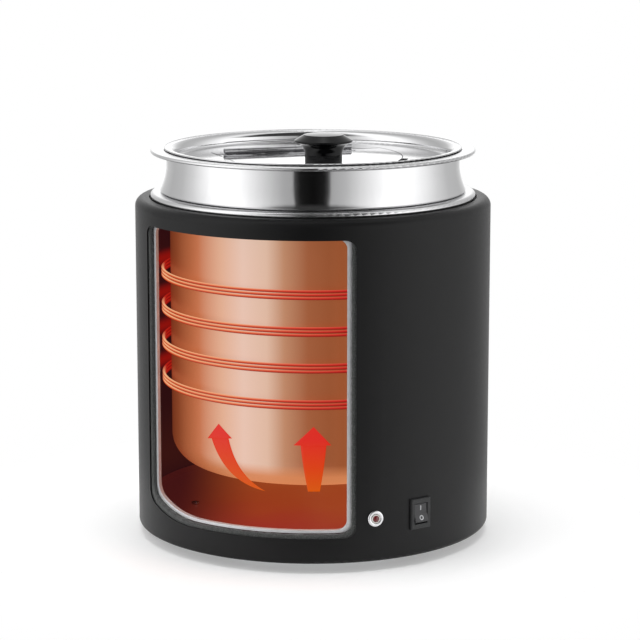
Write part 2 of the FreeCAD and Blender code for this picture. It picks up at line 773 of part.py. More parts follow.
def make_sensors():
    """Thermostat and safety cut-out, held up against the pan's floor by one strap."""
    top = size.pan_low - 0.1
    neck, brim = 6.5, size.sensor_radius
    for name, place in SENSOR_PLACES.items():
        cup = turned(name + "_cup", [
            to(0, top - 9),
            to(neck, top - 9),
            to(neck, top - 4),
            to(brim, top - 4),
            to(brim, top - 1),
            bend(brim - 1, top, 1, "left"),
            to(0, top),
        ])
        cup.Placement = moved(*place)
        tabs = []
        for side in (-1, 1):
            tabs.append(box(name + "_tab_%d" % side, 0.8, 6, 11,
                            (place.x + side * 3 - 0.4, place.y - 3, top - 18)))
        keep(fuse(name + "_whole", [cup] + tabs), name)
    line, half, wide = SENSOR_PLACES["thermostat"].y, 46, 18
    strap = box("strap_blank", half * 2, wide, 1.2, (-half, line - wide / 2, top - 5.2))
    holes = []
    for name, place in SENSOR_PLACES.items():
        spot = place + Vector(0, 0, top.value - 10)
        holes.append(cylinder("strap_hole_" + name, neck + 0.2, 10, moved(*spot)))
    studs = []
    for side in (-1, 1):
        spot = Vector(side * (half - 4.5), line, top.value - 12)
        holes.append(cylinder("strap_stud_hole_%d" % side, 2.2, 10, moved(*spot)))
        stem = cylinder("stud_%d" % side, 2, 12, moved(*spot))
        nut = hexagon_bar("stud_nut_%d" % side, 8, 3, moved(spot.x, spot.y, spot.z + 3.7))
        studs.append(fuse("stud_set_%d" % side, [stem, nut]))
    keep(cut("strap", strap, holes), "sensor_strap")
    group("sensor_studs", studs)


# ---------------------------------------------------------------- wiring, gland, lamp and switch

def make_wiring():
    """Terminal block and earth screw on the base plate."""
    low = plate_high + 0.1
    wide, deep, tall = 46, 17, 12
    block = box("block_blank", wide, deep, tall, (-wide / 2, BLOCK_FRONT - deep, low))
    middle = BLOCK_FRONT - deep / 2
    wells, screws = [], []
    for step in range(4):
        along = TERMINAL_PITCH * (step - 1.5)
        spot = Vector(along, middle, low.value + tall / 2)
        wells.append(cylinder("well_%d" % step, 3.2, 7, moved(*spot)))
        side = Placement(Vector(along, 80, low.value + 4), Rotation(Vector(1, 0, 0), -90))
        wells.append(cylinder("entry_%d" % step, 1.8, 30, side))
        screws.append(cylinder("clamp_%d" % step, 2.6, 3, moved(along, middle, spot.z + 0.4)))
    keep(cut("terminal_body", block, wells), "terminal_block")
    group("terminal_screws", screws)
    foot = Vector(60, 92, plate_high.value)
    stem = cylinder("earth_stem", 2.5, 12, moved(*foot))
    nut = hexagon_bar("earth_nut", 10, 4, moved(foot.x, foot.y, foot.z + 4))
    washer = cylinder("earth_washer", 5.5, 1.2, moved(foot.x, foot.y, foot.z + 2))
    keep(fuse("earth_set", [stem, nut, washer]), "earth_stud")


def lead(points, radius):
    """A round wire along straight runs joined by tangent arcs."""
    edges = []
    start = points[0]
    for before, corner, after in zip(points, points[1:], points[2:]):
        back, ahead = before - corner, after - corner
        turn = math.pi - back.getAngle(ahead)
        trim = min(back.Length, ahead.Length) * 0.45
        enter = corner + Vector(back).normalize() * trim
        leave = corner + Vector(ahead).normalize() * trim
        middle = (enter + leave) / 2
        inward = (middle - corner).normalize()
        reach = trim / math.tan(turn / 2)
        centre = corner + inward * math.hypot(reach, trim)
        edges.append(Part.LineSegment(start, enter).toShape())
        edges.append(Part.Arc(enter, centre - inward * reach, leave).toShape())
        start = leave
    edges.append(Part.LineSegment(start, points[-1]).toShape())
    path = Part.Wire(edges)
    section = Part.Wire(Part.makeCircle(radius, points[0], points[1] - points[0]))
    return path.makePipeShell([section], True, True)


def make_leads():
    """Leads from the terminal block up to the heaters' bus bars, and from switch and lamp to it."""
    floor = plate_high.value + 4.2
    start = BLOCK_FRONT + 0.2
    rise = size.heater_first.value - 10.2
    heaters = []
    for side in (-1, 1):
        bar = heater_point(-side * size.heater_opening.value, rise)
        foot = bar + Vector(bar.x, bar.y, 0).normalize() * 6
        outer = side * TERMINAL_PITCH * 1.5
        heaters.append(lead([
            Vector(outer, start, floor), Vector(outer, 122, floor),
            Vector(side * 6, 142, floor), Vector(side * 5, 144, 60),
            Vector(side * 8, 146, 110), Vector(foot.x, foot.y, rise),
        ], 1.1))
    keep(shaped("heater_lead_pair", Part.makeCompound(heaters)), "heater_leads")

    controls = []
    routes = (
        (50, 40, [Vector(7.5, 137, 33), Vector(7, 134, 17.6)], TERMINAL_PITCH / 2),
        (26, 33, [Vector(2.5, 132, 29), Vector(0, 130, 17.6)], -TERMINAL_PITCH / 2),
    )
    for angle, level, drop, entry in routes:
        points = [swing(angle).multVec(Vector(0, -142, level + 3))]
        angles = [angle + 10 + step * (158 - angle) / 5 for step in range(6)]
        points += spots(150, angles, level)
        points += drop + [Vector(entry, 120, floor), Vector(entry, start, floor)]
        controls.append(lead(points, 0.9))
    keep(shaped("control_lead_pair", Part.makeCompound(controls)), "control_leads")


def hexagon_nut(name, across_flats, low, high, bore, place):
    """A hexagon nut with a round bore, along the given frame's Z axis."""
    bar = hexagon_bar(name + "_blank", across_flats * 2 / math.sqrt(3), high - low,
                      place.multiply(moved(0, 0, low)))
    hole = cylinder(name + "_bore", bore, 60, place.multiply(moved(0, 0, -30)))
    return cut(name, bar, [hole])


def make_gland():
    """The empty cable gland at the back: body, clamping dome, seal and inner locknut."""
    place = outward(REAR, size.casing_radius.value, size.gland_height.value)
    bore, thread = size.gland_bore, size.gland_thread
    barrel = turned("gland_barrel", [
        to(bore + 1, -18),
        to(thread - 0.2, -18),
        to(thread - 0.2, 0.3),
        to(11.4, 0.3),
        to(11.4, 4.3),
        to(9, 4.3),
        to(9, 5),
        to(6.4, 5),
        to(6.4, 2),
        to(bore + 1, 2),
    ])
    barrel.Placement = place
    keep(barrel, "cable_gland")
    cap = turned("gland_cap", [
        to(bore, 11),
        to(bore, 9.6),
        to(6.9, 9.6),
        to(6.9, 5.2),
        to(10.6, 5.2),
        to(10.6, 8.6),
        bend(8.2, 11, 2.4, "left"),
    ])
    cap.Placement = place
    keep(cap, "gland_dome_nut")
    seal = ring("seal_ring", bore, as_size(6.3), as_size(2.1), as_size(9.4))
    seal.Placement = place
    keep(seal, "gland_seal")
    keep(hexagon_nut("locknut", 20.0, -6.2, -1.8, thread - 0.1, place), "gland_locknut")


def make_lamp():
    """Pilot lamp: chrome bezel, white holder, red lens and its nut."""
    place = outward(size.lamp_angle.value, size.casing_radius.value, size.lamp_height.value)
    edge = size.lamp_radius
    bezel = turned("bezel_ring", [
        to(4.2, -14),
        to(5.0, -14),
        to(5.0, 0.25),
        to(edge, 0.25),
        to(edge, 0.9),
        bend(edge - 1.3, 2.2, 1.3, "left"),
        to(5.4, 2.2),
        bend(4.2, 1.4, 1.5, "left"),
    ])
    bezel.Placement = place
    keep(bezel, "lamp_bezel")
    holder = turned("holder_barrel", [
        to(0, -17),
        to(4.1, -17),
        to(4.1, 1.9),
        bend(3.7, 2.3, 0.4, "left"),
        to(3.1, 2.3),
        to(3.1, -3),
        to(0, -3),
    ])
    holder.Placement = place
    keep(holder, "lamp_holder")
    lens_edge, lens_rim, lens_top = 3.0, 2.1, 3.7
    lens = turned("lens_dome", [
        to(0, -2.9),
        to(lens_edge, -2.9),
        to(lens_edge, lens_rim),
        dome(lens_edge, lens_rim, lens_top),
    ])
    lens.Placement = place
    keep(lens, "lamp_lens")
    keep(hexagon_nut("lamp_ring_nut", 13.0, -5.0, -1.9, 5.05, place), "lamp_nut")
    tabs = []
    for side in (-1, 1):
        tabs.append(placed_box("lamp_tab_%d" % side, 0.8, 4.8, 9,
                               place.multiply(moved(side * 2 - 0.4, -2.4, -26))))
    group("lamp_tabs", tabs)


def make_switch():
    """Rocker switch: moulded housing, rocker on two pivots, and three blade terminals."""
    wide, tall, centre = size.bezel_width, size.bezel_height, size.switch_height
    front = -(size.casing_radius + size.bezel_proud)
    pocket_wide = size.rocker_width + 0.5
    pocket_tall = size.rocker_reach * 2 + 0.6
    flange = box("flange_blank", wide, size.bezel_proud + 3, tall, (-wide / 2, front, centre - tall / 2))
    rounded = document.addObject("Part::Fillet", "flange_round")
    rounded.Base = flange
    rounded.Edges = [(edge, 1.2, 1.2) for edge in FLANGE_EDGES]
    drum = cylinder("casing_drum", size.casing_radius + 0.02, 120, Placement())
    collar = cut("flange_collar", rounded, [drum])
    body_tall = as_size(25)
    body_wide = as_size(18.4)
    barrel = box("switch_barrel", body_wide, size.switch_depth + 1.5, body_tall,
                 (-body_wide / 2, front + 1.0, centre - body_tall / 2))
    pocket = box("rocker_pocket", pocket_wide, as_size(18), pocket_tall,
                 (-pocket_wide / 2, front - 1, centre - pocket_tall / 2))
    along = Rotation(Vector(0, 1, 0), 90)
    pivot = Vector(-20, -size.rocker_pivot.value, centre.value)
    hole = cylinder("pivot_hole", 1.3, 40, Placement(pivot, along))
    housing = cut("housing", fuse("housing_blank", [collar, barrel]), [pocket, hole])
    housing.Placement = swing(size.switch_angle.value)
    keep(housing, "switch_housing")

    reach = size.rocker_reach
    face, back, waist = as_size(-4.8), as_size(1.5), as_size(-3.5)
    face_half = (reach * reach - face * face).root()
    back_half = (reach * reach - back * back).root()
    plate = raised("rocker_plate", "YZ_Plane", [
        to(waist, 0),
        to(face, -face_half),
        bend(back, -back_half, reach, "left"),
        to(6, -3),
        to(6, 3),
        to(back, back_half),
        bend(face, face_half, reach, "left"),
    ], size.rocker_width, midplane=True)
    pins = cylinder("rocker_pins", 1.22, size.rocker_width + 3,
                    Placement(Vector(-size.rocker_width.value / 2 - 1.5, 0, 0), along))
    rocker = fuse("rocker_body", [plate, pins])
    spot = Vector(0, -size.rocker_pivot.value, centre.value)
    tilt = Rotation(Vector(1, 0, 0), -size.rocker_tilt.value)
    rocker.Placement = swing(size.switch_angle.value).multiply(Placement(spot, tilt))
    keep(rocker, "rocker")

    blades = []
    rear = front + 1 + size.switch_depth + 1.5
    for step in (-1, 0, 1):
        blade = box("blade_%d" % (step + 1), 0.8, 8, 6.3, (-0.4, rear, centre + step * 8 - 3.15))
        blades.append(blade)
    together = document.addObject("Part::Compound", "switch_blades")
    together.Links = blades
    together.Placement = swing(size.switch_angle.value)
    keep(together, "switch_blades")


# ---------------------------------------------------------------- pot and lid

def make_pot():
    outer, wall = size.pot_radius, size.pot_wall
    low, big, step = size.pot_low, size.pot_round, size.pot_step
    foot, top = size.neck_low_radius, size.neck_high_radius
    waist, high, edge, roll = size.neck_waist, size.rim_high, size.rim_radius, size.rim_round
    turn, heel, sweep = as_size(3), as_size(2), as_size(60)
    centre = edge - roll
    seam = centre - 0.2
    keep(turned("pot", [
        to(0, low),
        to(outer - big, low),
        bend(outer, low + big, big, "left"),
        to(outer, step - turn),
        bend(outer + turn, step, turn, "right"),
        to(foot - heel, step),
        bend(foot, step + heel, heel, "left"),
        bend(top, waist, sweep, "right"),
        to(top, high - wall - turn),
        bend(top + turn, high - wall, turn, "right"),
        to(centre, high - wall),
        bend(centre, high - roll * 2 + wall, roll - wall, "right"),
        to(seam, high - roll * 2 + wall),
        to(seam, high - roll * 2),
        to(centre, high - roll * 2),
        bend(centre + roll, high - roll, roll, "left"),
        bend(centre, high, roll, "left"),
        to(top + turn, high),
        bend(top - wall, high - wall - turn, turn + wall, "left"),
        to(top - wall, waist),
        bend(foot - wall, step + heel + wall, sweep, "left"),
        bend(foot - heel, step + wall, heel, "right"),
        to(outer + turn, step + wall),
        bend(outer - wall, step - turn, turn + wall, "left"),
        to(outer - wall, low + big),
        bend(outer - big, low + wall, big - wall, "right"),
        to(0, low + wall),
    ]), "soup_pot")


def flap_outline(grow, back):
    """The flap's outline in the lid's frame, drawn out by grow and ended at the given back line."""
    left = size.flap_left - grow
    reach = size.flap_round + grow
    centre_x, centre_y = size.flap_centre_x, size.flap_centre_y
    side = left - centre_x
    rise = back - centre_y
    right = centre_x + (reach * reach - rise * rise).root()
    low = centre_y - (reach * reach - side * side).root()
    return [to(left, low), bend(right, back, reach, "left"), to(left, back)]


def lid_prism(name, grow, back, low, high):
    """A flat solid with the flap's outline between two heights."""
    solid = raised(name, "XY_Plane", flap_outline(grow, back), high - low)
    solid.Placement = Placement(Vector(0, 0, low.value), Rotation(UP, size.lid_turn.value))
    return solid


def in_lid(x, y, z, facing=None):
    """A frame given in the lid's own turned frame."""
    local = Placement(Vector(x, y, z), facing or Rotation())
    return swing(size.lid_turn.value).multiply(local)


def make_lid():
    wall, rest, inner, floor = size.lid_wall, size.lid_rest, size.lid_inner, size.dish_radius
    top = rest + wall
    edge = size.lid_radius
    high = size.dish_height
    corner = inner - 1.6
    dish = turned("lid_dish", [
        to(0, dish_low),
        to(floor, dish_low),
        bend(floor + 3.2, dish_low + 2.6, 3.4, "left"),
        bend(corner + 3.2, rest, 8.5, "right"),
        to(edge - 0.8, rest),
        bend(edge, rest + 0.8, 0.8, "left"),
        bend(edge - 0.8, rest + 1.6, 0.8, "left"),
        bend(edge - 2.4, top, 2.0, "right"),
        to(inner + 1.2, top),
        bend(floor + 2.4, high + 2.2, 9.3, "left"),
        bend(floor, high, 2.6, "right"),
        to(0, high),
    ])
    opening = lid_prism("lid_opening", size.flap_gap, size.hinge_y + 1.3, high - 4, high + 4)
    slit = placed_box("slit", 1.4, size.slit_length, 8,
                      in_lid(size.flap_left.value - 1.3, size.hinge_y.value + 1.0, high.value - 4))
    sector = document.addObject("Part::Cylinder", "ladle_sector")
    sector.Height = 8
    bind(sector, "Radius", size.flap_round + size.ladle_reach)
    bind(sector, "Angle", size.ladle_sweep)
    sector.Placement = in_lid(size.flap_centre_x.value, size.flap_centre_y.value, high.value - 6,
                              Rotation(UP, size.ladle_start.value - size.ladle_sweep.value))
    keep(cut("lid_shell", dish, [opening, slit, sector]), "lid_plate")

    ledge = size.ledge_wall
    outside = lid_prism("ledge_outside", size.ledge_outer, size.hinge_y - 6, dish_low - ledge, dish_low)
    inside = lid_prism("ledge_inside", -size.ledge_inner, size.hinge_y - 2, dish_low - 4, dish_low + 4)
    keep(cut("ledge_strip", outside, [inside, sector]), "flap_ledge")
    flap = lid_prism("flap_sheet", ZERO, size.hinge_y - 1.3, flap_low, high)
    hole = cylinder("knob_hole", 2.7, 10,
                    in_lid(size.knob_x.value, size.knob_y.value, high.value - 5))
    keep(cut("flap", flap, [hole]), "lid_flap")


def hinge_leaf(name, side, own):
    """One leaf of the piano hinge: a strip with its own knuckles rolled on."""
    radius, wall, bore = size.knuckle_radius.value, size.leaf_wall.value, size.hinge_bore.value
    low, height = size.dish_height.value, hinge_height.value
    length, start = size.knuckle_length.value, size.hinge_left.value
    total = KNUCKLES * length
    near, far = radius + 0.4, size.leaf_width.value
    line = size.hinge_y.value
    first = line + near if side > 0 else line - far
    leaf = Part.makeBox(total, far - near, wall, Vector(start, first, low))
    for number in own:
        begin = start + number * length + 0.15
        wide = length - 0.3
        base = line if side > 0 else line - near
        tongue = Part.makeBox(wide, near, wall, Vector(begin, base, low))
        knuckle = Part.makeCylinder(radius, wide, Vector(begin, line, height), Vector(1, 0, 0))
        leaf = leaf.fuse([tongue, knuckle])
    leaf = leaf.cut(Part.makeCylinder(bore, total + 2, Vector(start - 1, line, height), Vector(1, 0, 0)))
    leaf = leaf.removeSplitter()
    for spot in rivet_places(side):
        leaf = leaf.cut(Part.makeCylinder(1.0, 5, Vector(spot.x, spot.y, low - 2)))
    return keep(shaped(name + "_shape", leaf, swing(size.lid_turn.value)), name)


def rivet_places(side):
    """Rivet positions of one hinge leaf in the lid's frame."""
    start = size.hinge_left.value + size.knuckle_length.value * 0.5
    across = size.hinge_y.value + side * (size.leaf_width.value - 3.6)
    return [Vector(start + size.knuckle_length.value * step, across, 0) for step in range(0, KNUCKLES, 2)]


def hinge_rivets(name, side):
    """Five flat rivets that hold one leaf to its sheet."""
    low = size.dish_height.value
    sheet = flap_low.value if side < 0 else dish_low.value
    solids = []
    for spot in rivet_places(side):
        stem = Part.makeCylinder(0.98, low + size.leaf_wall.value - sheet + 0.8,
                                 Vector(spot.x, spot.y, sheet - 0.4))
        head = Part.makeCylinder(size.rivet_radius.value, 0.5,
                                 Vector(spot.x, spot.y, low + size.leaf_wall.value))
        tail = Part.makeCylinder(size.rivet_radius.value, 0.4, Vector(spot.x, spot.y, sheet - 0.4))
        solids.append(stem.fuse([head, tail]).removeSplitter())
    rivets = Part.makeCompound(solids)
    return keep(shaped(name + "_shape", rivets, swing(size.lid_turn.value)), name)


def make_hinge():
    hinge_leaf("hinge_leaf_rear", 1, range(0, KNUCKLES, 2))
    hinge_leaf("hinge_leaf_front", -1, range(1, KNUCKLES, 2))
    hinge_rivets("hinge_rivets_rear", 1)
    hinge_rivets("hinge_rivets_front", -1)
    length = size.knuckle_length * KNUCKLES + 0.6
    pin = cylinder("pin_bar", size.hinge_pin_radius, length,
                   in_lid(size.hinge_left.value - 0.3, size.hinge_y.value, hinge_height.value,
                          Rotation(Vector(0, 1, 0), 90)))
    keep(pin, "hinge_pin")
    for name, sheet in (("lid_plate", 1), ("lid_flap", -1)):
        drills = []
        for number, spot in enumerate(rivet_places(sheet)):
            drills.append(cylinder("%s_drill_%d" % (name, number), 1.0, 6,
                                   in_lid(spot.x, spot.y, size.dish_height.value - 3)))
        blank = nodes.pop(name)
        blank.Label = name + "_undrilled"
        keep(cut(name + "_drilled", blank, drills), name)


def make_knob():
    """The turned knob on the flap, its washer and its screw."""
    stem, wide, top, tall = size.knob_base, size.knob_wide, size.knob_top, size.knob_height
    place = in_lid(size.knob_x.value, size.knob_y.value, size.dish_height.value)
    bore, depth, cap = 2.55, 15, top - 0.6
    knob = turned("knob_turned", [
        to(bore, 0),
        to(stem - 0.8, 0),
        bend(stem, 0.8, 0.8, "left"),
        to(stem, 8),
        bend(wide - 0.6, 19.6, 12.6, "right"),
        bend(wide, 20.6, 1.0, "left"),
        bend(wide - 0.5, 21.6, 1.0, "left"),
        to(top + 0.9, tall - 1.4),
        bend(cap, tall - 0.9, 1.4, "left"),
        dome(cap, tall - 0.9, tall),
        to(0, depth),
        to(bore, depth),
    ])
    knob.Placement = place
    keep(knob, "lid_knob")
    under = in_lid(size.knob_x.value, size.knob_y.value, flap_low.value)
    washer = ring("washer_ring", as_size(2.6), as_size(7), as_size(-1.05), as_size(-0.05))
    washer.Placement = under
    keep(washer, "knob_washer")
    spot = under.multVec(Vector(0, 0, -1.05))
    keep(screw("knob_bolt", spot, 2.5, 14, 4.4, 2.4), "knob_screw")


# ---------------------------------------------------------------- make, check and write

def build():
    make_casing()
    make_felt()
    make_sleeve()
    make_base()
    make_feet()
    make_reflector()
    make_pan()
    make_heaters()
    make_sensors()
    make_wiring()
    make_leads()
    make_gland()
    make_lamp()
    make_switch()
    make_pot()
    make_lid()
    make_hinge()
    make_knob()
    document.recompute()


def check():
    """Stops if anything in the document failed."""
    for thing in document.Objects:
        for state in thing.State:
            if state in ("Invalid", "Error"):
                raise RuntimeError("%s (%s) is %s" % (thing.Name, thing.Label, state))
    for name, thing in nodes.items():
        if thing.Shape.isNull() or not thing.Shape.isValid() or not thing.Shape.Solids:
            raise RuntimeError("%s has no valid solid" % name)


def write():
    os.makedirs("parts", exist_ok=True)
    for name, thing in nodes.items():
        thing.Shape.exportStep("parts/%s.step" % name)


build()
check()
write()
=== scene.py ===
"""Looks of the soup kettle: finishes for its parts, the soft and printed pieces, studio and camera."""

import json
import math

import bmesh
import bpy
import numpy as np
from mathutils import Matrix, Vector, noise


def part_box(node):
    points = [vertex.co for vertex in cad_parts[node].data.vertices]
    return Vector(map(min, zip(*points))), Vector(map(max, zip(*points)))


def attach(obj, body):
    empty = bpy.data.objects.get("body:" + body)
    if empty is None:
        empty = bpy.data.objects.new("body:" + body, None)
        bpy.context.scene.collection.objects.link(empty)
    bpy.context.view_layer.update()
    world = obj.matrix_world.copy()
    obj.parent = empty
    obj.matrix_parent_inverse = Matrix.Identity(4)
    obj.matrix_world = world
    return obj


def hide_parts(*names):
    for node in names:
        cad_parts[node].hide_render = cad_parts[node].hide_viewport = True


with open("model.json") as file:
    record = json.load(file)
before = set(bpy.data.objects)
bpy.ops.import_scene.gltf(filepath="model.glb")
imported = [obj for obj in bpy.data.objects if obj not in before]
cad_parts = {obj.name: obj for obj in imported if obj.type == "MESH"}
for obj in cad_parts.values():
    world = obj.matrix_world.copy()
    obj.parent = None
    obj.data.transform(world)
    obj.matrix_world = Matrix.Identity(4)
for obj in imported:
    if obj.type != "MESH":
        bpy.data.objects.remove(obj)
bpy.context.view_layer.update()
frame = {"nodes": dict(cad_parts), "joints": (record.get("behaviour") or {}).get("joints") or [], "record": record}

nodes = frame["nodes"]
record = frame["record"]
scene = bpy.context.scene
MM = 0.001
PAN_RADIUS = 137.0 * MM


# ---------------------------------------------------------------- node helpers

def shade(red, green, blue):
    """A colour as a screen shows it, 0 to 255, in linear light."""
    def linear(part):
        part = part / 255
        return part / 12.92 if part <= 0.04045 else ((part + 0.055) / 1.055) ** 2.4
    return (linear(red), linear(green), linear(blue), 1.0)


def grey(level):
    """A grey of the level, in linear light."""
    return (level, level, level, 1.0)


class Graph:
    """A node tree, with short calls for the nodes that the finishes share."""

    def __init__(self, tree):
        self.tree = tree
        tree.nodes.clear()

    def add(self, kind, **settings):
        """A new shader node of the kind, with its settings."""
        made = self.tree.nodes.new("ShaderNode" + kind)
        for name, value in settings.items():
            setattr(made, name, value)
        return made

    def feed(self, socket, value):
        """Links another node's output to the socket, or sets the socket to a plain value."""
        if isinstance(value, bpy.types.NodeSocket):
            self.tree.links.new(value, socket)
        else:
            socket.default_value = value

    def math(self, operation, *values):
        made = self.add("Math", operation=operation)
        for socket, value in zip(made.inputs, values):
            self.feed(socket, value)
        return made.outputs[0]

    def place(self):
        """The place in the piece's own frame, which at rest is the shared frame."""
        return self.add("TexCoord").outputs["Object"]

    def normal(self):
        return self.add("TexCoord").outputs["Normal"]

    def split(self, vector):
        """The vector's X, Y and Z."""
        parts = self.add("SeparateXYZ")
        self.feed(parts.inputs[0], vector)
        return parts.outputs

    def stretched(self, x, y, z):
        """The place in the piece, scaled along each axis."""
        made = self.add("Mapping")
        self.feed(made.inputs["Vector"], self.place())
        made.inputs["Scale"].default_value = (x, y, z)
        return made.outputs[0]

    def noise(self, scale, detail, vector=None, roughness=0.5):
        made = self.add("TexNoise")
        self.feed(made.inputs["Vector"], vector or self.place())
        made.inputs["Scale"].default_value = scale
        made.inputs["Detail"].default_value = detail
        made.inputs["Roughness"].default_value = roughness
        return made.outputs["Fac"]

    def span(self, value, low, high, to_low, to_high, smooth=False):
        """Carries a value from one range over to another, held at both ends."""
        made = self.add("MapRange", interpolation_type="SMOOTHSTEP" if smooth else "LINEAR")
        for name, amount in (("Value", value), ("From Min", low), ("From Max", high),
                             ("To Min", to_low), ("To Max", to_high)):
            self.feed(made.inputs[name], amount)
        return made.outputs[0]

    def ramp(self, value, stops):
        """A colour that follows the value through (value, colour) stops."""
        low, high = stops[0][0], stops[-1][0]
        made = self.add("ValToRGB")
        self.feed(made.inputs[0], self.span(value, low, high, 0.0, 1.0))
        points = made.color_ramp.elements
        while len(points) < len(stops):
            points.new(0.5)
        for point, (at, colour) in zip(points, stops):
            point.position = (at - low) / (high - low)
            point.color = colour if len(colour) == 4 else (*colour, 1.0)
        return made.outputs[0]

    def mix(self, factor, first, second, blend="MIX"):
        made = self.add("Mix", data_type="RGBA", blend_type=blend)
        self.feed(made.inputs[0], factor)
        self.feed(made.inputs[6], first)
        self.feed(made.inputs[7], second)
        return made.outputs[2]

    def turn_of(self, x, y):
        """Azimuth in degrees from the kettle's front, positive to its right."""
        return self.math("DEGREES", self.math("ARCTAN2", x, self.math("MULTIPLY", y, -1.0)))

    def azimuth(self):
        x, y, _ = self.split(self.place())
        return self.turn_of(x, y)

    def radius(self):
        """Distance from the kettle's axis."""
        x, y, _ = self.split(self.place())
        return self.math("SQRT", self.math("ADD", self.math("MULTIPLY", x, x),
                                           self.math("MULTIPLY", y, y)))

    def height(self):
        return self.split(self.place())[2]

    def facing_out(self):
        """Above zero where the surface faces away from the axis or down, below zero inside a bowl."""
        flat = self.add("VectorMath", operation="MULTIPLY")
        self.feed(flat.inputs[0], self.place())
        flat.inputs[1].default_value = (1.0, 1.0, 0.0)
        across = self.add("VectorMath", operation="NORMALIZE")
        self.feed(across.inputs[0], flat.outputs[0])
        outward = self.add("VectorMath", operation="DOT_PRODUCT")
        self.feed(outward.inputs[0], self.normal())
        self.feed(outward.inputs[1], across.outputs[0])
        upward = self.split(self.normal())[2]
        return self.math("MULTIPLY_ADD", upward, -0.5, outward.outputs["Value"])

    def bump(self, height, distance):
        made = self.add("Bump")
        made.inputs["Strength"].default_value = 1.0
        made.inputs["Distance"].default_value = distance
        self.feed(made.inputs["Height"], height)
        return made.outputs[0]


def finish(name):
    """A new material's graph and its shader."""
    material = bpy.data.materials.new(name)
    material.use_nodes = True
    graph = Graph(material.node_tree)
    shader = graph.add("BsdfPrincipled")
    output = graph.add("OutputMaterial")
    graph.tree.links.new(shader.outputs[0], output.inputs[0])
    return material, graph, shader


def dress(name, colour, roughness, metallic=0.0, normal=None, emission=None, glow=1.0, **fixed):
    """Settles a shader: each value is a number, a colour or a function of the graph."""
    material, graph, shader = finish(name)

    def settle(socket, value):
        graph.feed(shader.inputs[socket], value(graph) if callable(value) else value)

    settle("Base Color", colour)
    settle("Roughness", roughness)
    settle("Metallic", metallic)
    if normal:
        settle("Normal", normal)
    if emission:
        settle("Emission Color", emission)
        shader.inputs["Emission Strength"].default_value = glow
    for socket, value in fixed.items():
        shader.inputs[socket.replace("_", " ")].default_value = value
    return material


# ---------------------------------------------------------------- finishes

def mottled(colour, change, scale):
    """The colour, with a slow change of brightness over the surface."""
    def build(graph):
        value = graph.span(graph.noise(scale, 4.0), 0.3, 0.7, 1.0 - change, 1.0 + change)
        return graph.mix(1.0, colour, graph.ramp(value, [(0.0, (0, 0, 0)), (2.0, (2, 2, 2))]), "MULTIPLY")
    return build


def rough_between(low, high, scale):
    """A roughness that drifts between two values over the surface."""
    return lambda graph: graph.span(graph.noise(scale, 5.0), 0.3, 0.7, low, high)


def grained(scale, distance):
    """A fine uneven surface, its distance in metres."""
    return lambda graph: graph.bump(graph.noise(scale, 4.0), distance)


def drawn(x, y, z, distance):
    """Fine lines left by rolling or polishing along one axis."""
    return lambda graph: graph.bump(graph.noise(1.0, 3.0, graph.stretched(x, y, z)), distance)


def turned_lines(distance):
    """Fine rings round the kettle's axis, left by polishing on a lathe."""
    across_rings, along_rings = 3000.0, 0.03

    def build(graph):
        where = graph.add("CombineXYZ")
        graph.feed(where.inputs[0], graph.math("MULTIPLY", graph.radius(), across_rings))
        graph.feed(where.inputs[1], graph.math("MULTIPLY", graph.height(), across_rings))
        graph.feed(where.inputs[2], graph.math("MULTIPLY", graph.azimuth(), along_rings))
        return graph.bump(graph.noise(1.0, 2.0, where.outputs[0]), distance)
    return build


def black_coat():
    return dress("black_powder_coat", mottled(shade(15, 15, 16), 0.12, 60.0),
                 rough_between(0.34, 0.44, 900.0), normal=grained(2600.0, 0.00006), IOR=1.32)


def zinc_steel():
    return dress("zinc_sheet", mottled(shade(176, 180, 184), 0.12, 90.0),
                 rough_between(0.32, 0.5, 120.0), 1.0, normal=grained(300.0, 0.00002))


def heated_floor():
    """Sheet under red heat light, which is painted on as emission: a smoky orange painted glow at the back, and
    dark red painted shade at the front and the left; its dark red base colour is painted red light too.
    """
    def colour(graph):
        x, y, _ = graph.split(graph.place())
        cloud = graph.math("MULTIPLY_ADD", graph.noise(14.0, 4.0), 0.12, -0.06)
        depth = graph.math("ADD", y, cloud)
        # painted glow of the heat light, darker red to the front, with smoky clouds in it
        along = graph.ramp(depth, [(-0.16, shade(140, 34, 32)), (-0.11, shade(146, 44, 32)),
                                   (-0.03, shade(150, 60, 28)), (0.12, shade(160, 76, 34))])
        # painted shade on the left side
        left = graph.span(x, -0.135, -0.045, 1.0, 0.0, smooth=True)
        return graph.mix(left, along, shade(62, 20, 20))

    # the dark red base colour and the emission are painted heat light and shade
    return dress("floor_sheet_painted_heat_glow", shade(70, 26, 18), 0.45, normal=grained(200.0, 0.00003),
                 emission=colour, glow=0.9, IOR=1.3)


def sleeve_steel():
    """Inner sheet, painted dark maroon for the shade and red light in the cavity, with the glow of each heater
    painted on it as emission.
    """
    def colour(graph):
        return painted_heater_glow(graph, shade(44, 16, 18), shade(150, 20, 14), 11 * MM)

    # the dark maroon base colour is painted shade and red light
    return dress("sleeve_sheet_painted_glow", shade(52, 18, 18), 0.42, 0.2, normal=drawn(60, 60, 1800, 0.00003),
                 emission=colour, glow=0.8)


def heater_levels():
    """The mid-height of each heater band."""
    boxes = [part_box("heater_band_%d" % number) for number in (1, 2, 3, 4)]
    return [(low.z + high.z) / 2 for low, high in boxes]


